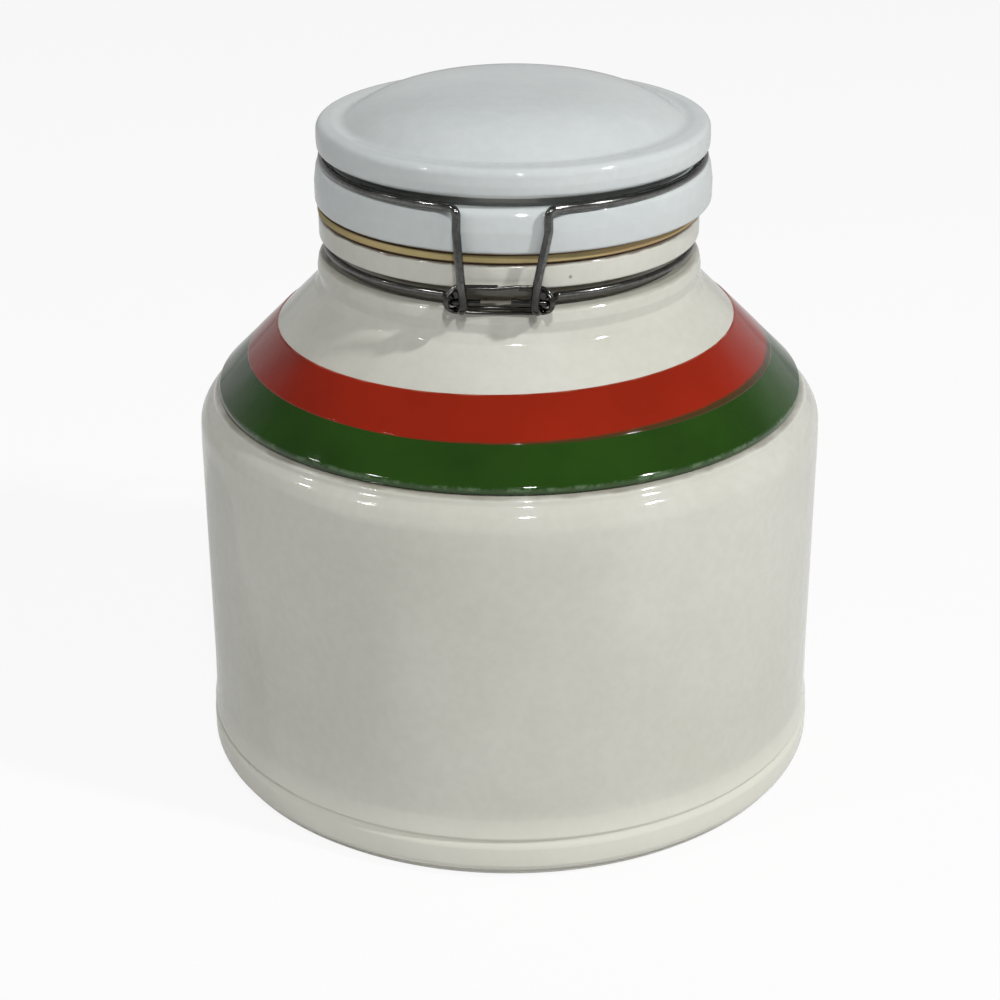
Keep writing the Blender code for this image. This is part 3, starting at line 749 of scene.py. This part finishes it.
# Hinge link
# A thin soft wire wound twice round both eyes, which keeps them on the stubs. At its ends both turns pass
# before the neck wire, and its bars lie behind the legs. It begins and ends on the top side.
LINK_WIRE = 0.95 * MM
LINK_END_STEPS = 16
# Each turn in millimetres from the hinge: half length, the straight part's half length, the top and bottom
# bars' (Y, Z), the ends' Y, and how late the ends swing back to the bottom bar
OUTER_TURN = {
    "reach": 13.95, "straight": 10.5, "top": (0.4, 4.2), "bottom": (1.9, -3.45), "front": -1.35, "late": 2,
}
INNER_TURN = {
    "reach": 13.5, "straight": 10.4, "top": (-0.5, 3.95), "bottom": (3.05, -2.5), "front": -2.3, "late": 4,
}


def link_end(turn, side, first, last):
    """A turn's rounded end, from one angle to another. 90 degrees is its top bar and -90 its bottom bar."""
    top, bottom, front, straight = turn["top"], turn["bottom"], turn["front"], turn["straight"]
    path = []
    for step in range(LINK_END_STEPS + 1):
        angle = math.radians(first + (last - first) * step / LINK_END_STEPS)
        bar, late = (top, 2) if angle > 0 else (bottom, turn["late"])
        up = (top[1] + bottom[1]) / 2 + (top[1] - bottom[1]) / 2 * math.sin(angle)
        back = front + (bar[0] - front) * abs(math.sin(angle)) ** late
        across = side * (straight + (turn["reach"] - straight) * math.cos(angle))
        path.append(hinge + Vector((across, back, up)) * MM)
    return path


def on_top(turn, across):
    return hinge + Vector((across, *turn["top"])) * MM


link_path = [on_top(OUTER_TURN, -0.4)]
link_path += link_end(OUTER_TURN, -1, 90, -90) + link_end(OUTER_TURN, 1, -90, 90)
link_path += [on_top(OUTER_TURN, 4.5), on_top(INNER_TURN, -1.0)]
link_path += link_end(INNER_TURN, -1, 90, -90) + link_end(INNER_TURN, 1, -90, 90)
link_path += [on_top(INNER_TURN, 5.0)]
hinge_link = bent_wire("hinge_winding", link_path, LINK_WIRE, steel)
put_together(hinge_link, "jar", "hinge_link")

# Lever
# The handle of the closure, from the same wire as the lid's: eyes on the neck wire's bar, crank pins for the
# hasp, and a loop for the finger that is bent outwards. Here it hangs let go, as on a jar ready to open.
LEVER_CLOSED = math.radians(-50)
LEVER_LET_GO = math.radians(20)
TIP_TURN = math.radians(25)
ARM_LENGTH = 24 * MM
TIP_LENGTH = 8 * MM
LEVER_EYE_START = 6.5 * MM
LEVER_EYE_PITCH = 2.6 * MM

crank_pin = Vector((0, -1.5 * MM, -7.2 * MM))
lever_side = Vector((16.9 * MM, 0, 0))
lever_eye_end = Vector((LEVER_EYE_START + LEVER_EYE_PITCH, 0, 0))
along = Matrix.Rotation(LEVER_CLOSED, 3, "X") @ Vector((0, 1, 0))
outward = Matrix.Rotation(LEVER_CLOSED + TIP_TURN, 3, "X") @ Vector((0, 1, 0))
knee = crank_pin + along * ARM_LENGTH
tip = knee + outward * TIP_LENGTH
leave = math.atan2(crank_pin.z, crank_pin.y) - math.acos(eye_radius / crank_pin.length)
middle = Vector((0, 0, 0))
lever_eye = curl(middle, eye_radius, LEVER_EYE_START, LEVER_EYE_PITCH, leave - math.tau, math.tau)
lever_half = arc_through([
    (tip, 0),
    (tip + lever_side, 7 * MM),
    (knee + lever_side, 2.5 * MM),
    (crank_pin + lever_side, 2 * MM),
    (crank_pin + lever_eye_end, 2 * MM),
    (lever_eye[-1], 0),
], steps=8) + lever_eye[-2::-1]
let_go = Matrix.Translation(lever_axis) @ Matrix.Rotation(LEVER_LET_GO, 4, "X")
lever_path = [let_go @ point for point in mirrored(lever_half) + lever_half[1:]]
lever = bent_wire("lever_handle", lever_path, LID_WIRE, steel)
put_together(lever, "lever", "latch_lever")

# Hasp
# A loop of slightly thinner wire on the lever's crank pins. As the lever is pressed down, its cross bar
# comes over the lid wire's catch bar and pulls the lid onto the rubber ring.
HASP_WIRE = 2.0 * MM
HASP_FOLLOW = -1.6
HASP_BOW = 4.0 * MM
HASP_GAP = 0.4 * MM
HASP_EYE_PITCH = HASP_WIRE + 0.3 * MM

hasp_side = Vector((11.8 * MM, 0, 0))
hasp_top = lid_ring_level + LID_WIRE / 2 + HASP_GAP + HASP_WIRE / 2 - (lever_axis.z + crank_pin.z)
hasp_bar = Vector((0, catch_y - lever_axis.y - crank_pin.y, hasp_top))
pin_eye_radius = LID_WIRE / 2 + EYE_FIT + HASP_WIRE / 2
hasp_eye = curl(middle, pin_eye_radius, hasp_side.x, HASP_EYE_PITCH, 0, -math.tau)
hasp_half = arc_through([
    (hasp_bar, 0),
    (hasp_bar + hasp_side, 2 * MM),
    (hasp_side + Vector((0, HASP_BOW, hasp_top)), 2 * MM),
    (hasp_side + Vector((0, HASP_BOW, 5.4 * MM)), 4 * MM),
    (hasp_eye[0], 0),
], steps=8) + hasp_eye[1:]
lean = let_go @ Matrix.Translation(crank_pin) @ Matrix.Rotation(HASP_FOLLOW * LEVER_LET_GO, 4, "X")
hasp_path = [lean @ point for point in mirrored(hasp_half) + hasp_half[1:]]
hasp = bent_wire("hasp_loop", hasp_path, HASP_WIRE, steel)
put_together(hasp, "hasp", "latch_hasp")

# Floor and light
# A plain white floor, soft light all round, brighter from behind, and four small lamps under the ceiling that
# give the glaze its sharp glints and the wires their shadows. To the camera, floor and world are near white.
FLOOR_SIZE = 8.0
FLOOR_DROP = 0.2 * MM
PAPER = (0.72, 0.72, 0.715, 1)
PURE_WHITE = (1, 1, 1, 1)
FLOOR_GLOW_SEEN = 0.9
FLOOR_GLOW_MIRRORED = 0.25
WORLD_LEVEL = 0.11
BACK_LEVEL = 0.32
HORIZON_LEVEL = 0.5
BACKDROP_LEVEL = 0.93
CEILING_LEVEL = 0.1
JAR_MIDDLE = Vector((0, 0, 100 * MM))
LAMP_DISTANCE = 1.6
LAMP_WIDTH = 0.09
LAMP_HEIGHT = 0.045
# Azimuth and elevation in degrees, and watts
CEILING_LAMPS = [(-86, 37, 1.1), (-58, 44, 2.7), (8, 48, 10.5), (64, 42, 16)]


def ray_kinds(tree):
    """Whether a ray comes from the camera, and whether from a mirror or glass."""
    rays = add_node(tree, "ShaderNodeLightPath").outputs
    return rays["Is Camera Ray"], maths(tree, "MAXIMUM", rays["Is Glossy Ray"], rays["Is Transmission Ray"])


bpy.ops.object.select_all(action="DESELECT")
bpy.ops.mesh.primitive_plane_add(size=FLOOR_SIZE, location=(0, 0, -FLOOR_DROP))
floor = bpy.context.object
floor.name = "floor"
paper = bpy.data.materials.new("paper")
paper.use_nodes = True
tree = paper.node_tree
camera_rays, mirror_rays = ray_kinds(tree)
glow_share = maths(tree, "MULTIPLY", camera_rays, FLOOR_GLOW_SEEN)
glow_share = maths(tree, "MULTIPLY_ADD", mirror_rays, FLOOR_GLOW_MIRRORED, glow_share)
matt = add_node(tree, "ShaderNodeBsdfDiffuse", {"Color": PAPER})
glow = add_node(tree, "ShaderNodeEmission", {"Color": PURE_WHITE, "Strength": 1.0})
blend = add_node(tree, "ShaderNodeMixShader", {0: glow_share, 1: matt.outputs[0], 2: glow.outputs[0]})
tree.links.new(blend.outputs[0], tree.nodes["Material Output"].inputs["Surface"])
coat(floor, paper)

world = bpy.data.worlds.new("studio")
world.use_nodes = True
bpy.context.scene.world = world
tree = world.node_tree
camera_rays, mirror_rays = ray_kinds(tree)
sky = add_node(tree, "ShaderNodeTexCoord").outputs["Generated"]
skyward = add_node(tree, "ShaderNodeSeparateXYZ", {"Vector": sky}).outputs
lit = maths(tree, "MULTIPLY_ADD", ramp(tree, skyward["Y"], -0.1, 0.9), BACK_LEVEL, WORLD_LEVEL)
mirrored_level = maths(tree, "MULTIPLY_ADD", ramp(tree, skyward["Z"], 0.12, 0.52),
                       CEILING_LEVEL - HORIZON_LEVEL, HORIZON_LEVEL)
level = add_node(tree, "ShaderNodeMix", {0: mirror_rays, 2: lit, 3: mirrored_level}).outputs[0]
level = add_node(tree, "ShaderNodeMix", {0: camera_rays, 2: level, 3: BACKDROP_LEVEL}).outputs[0]
tree.links.new(level, tree.nodes["Background"].inputs["Strength"])
tree.nodes["Background"].inputs["Color"].default_value = PURE_WHITE


def ceiling_lamp(azimuth, elevation, watts):
    """An area lamp aimed at the jar. Azimuth 0 is the camera's side, and positive is to its right."""
    turn, rise = math.radians(azimuth), math.radians(elevation)
    away = Vector((math.sin(turn) * math.cos(rise), -math.cos(turn) * math.cos(rise), math.sin(rise)))
    bpy.ops.object.light_add(type="AREA", location=JAR_MIDDLE + away * LAMP_DISTANCE)
    light = bpy.context.object
    light.name = f"ceiling_lamp_{azimuth}"
    light.data.shape = "RECTANGLE"
    light.data.size = LAMP_WIDTH
    light.data.size_y = LAMP_HEIGHT
    light.data.energy = watts
    light.rotation_euler = away.to_track_quat("Z", "Y").to_euler()


for azimuth, elevation, watts in CEILING_LAMPS:
    ceiling_lamp(azimuth, elevation, watts)
